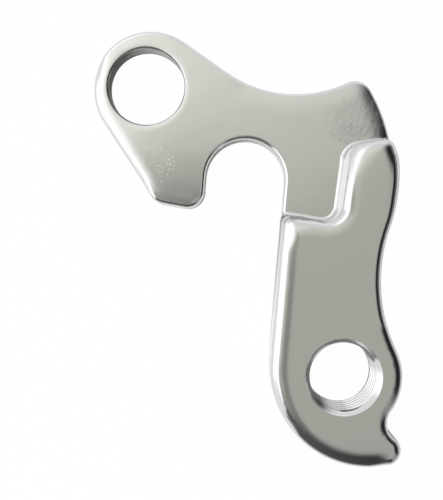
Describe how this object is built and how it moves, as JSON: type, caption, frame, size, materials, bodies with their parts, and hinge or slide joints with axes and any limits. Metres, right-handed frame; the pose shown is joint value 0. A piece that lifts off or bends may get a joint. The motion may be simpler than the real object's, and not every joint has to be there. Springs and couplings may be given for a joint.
{
  "type": "bicycle derailleur hanger",
  "caption": "Stepped metal plate that bolts to a bicycle frame end, forks round the rear axle and carries the rear derailleur on a threaded boss, with a claw that stops its swing.",
  "frame": {"origin": "On the axis of the derailleur thread, where it meets the flat outer face.", "axes": "+Z points out of the stepped face towards the wheel, +Y points up towards the axle slot, and +X points to the rear of the bicycle."},
  "size_m": [0.0428, 0.0603, 0.007],
  "materials": {
    "polished_aluminium": "polished"
  },
  "bodies": {
    "root": {"hanger": "polished_aluminium"}
  },
  "joints": []
}
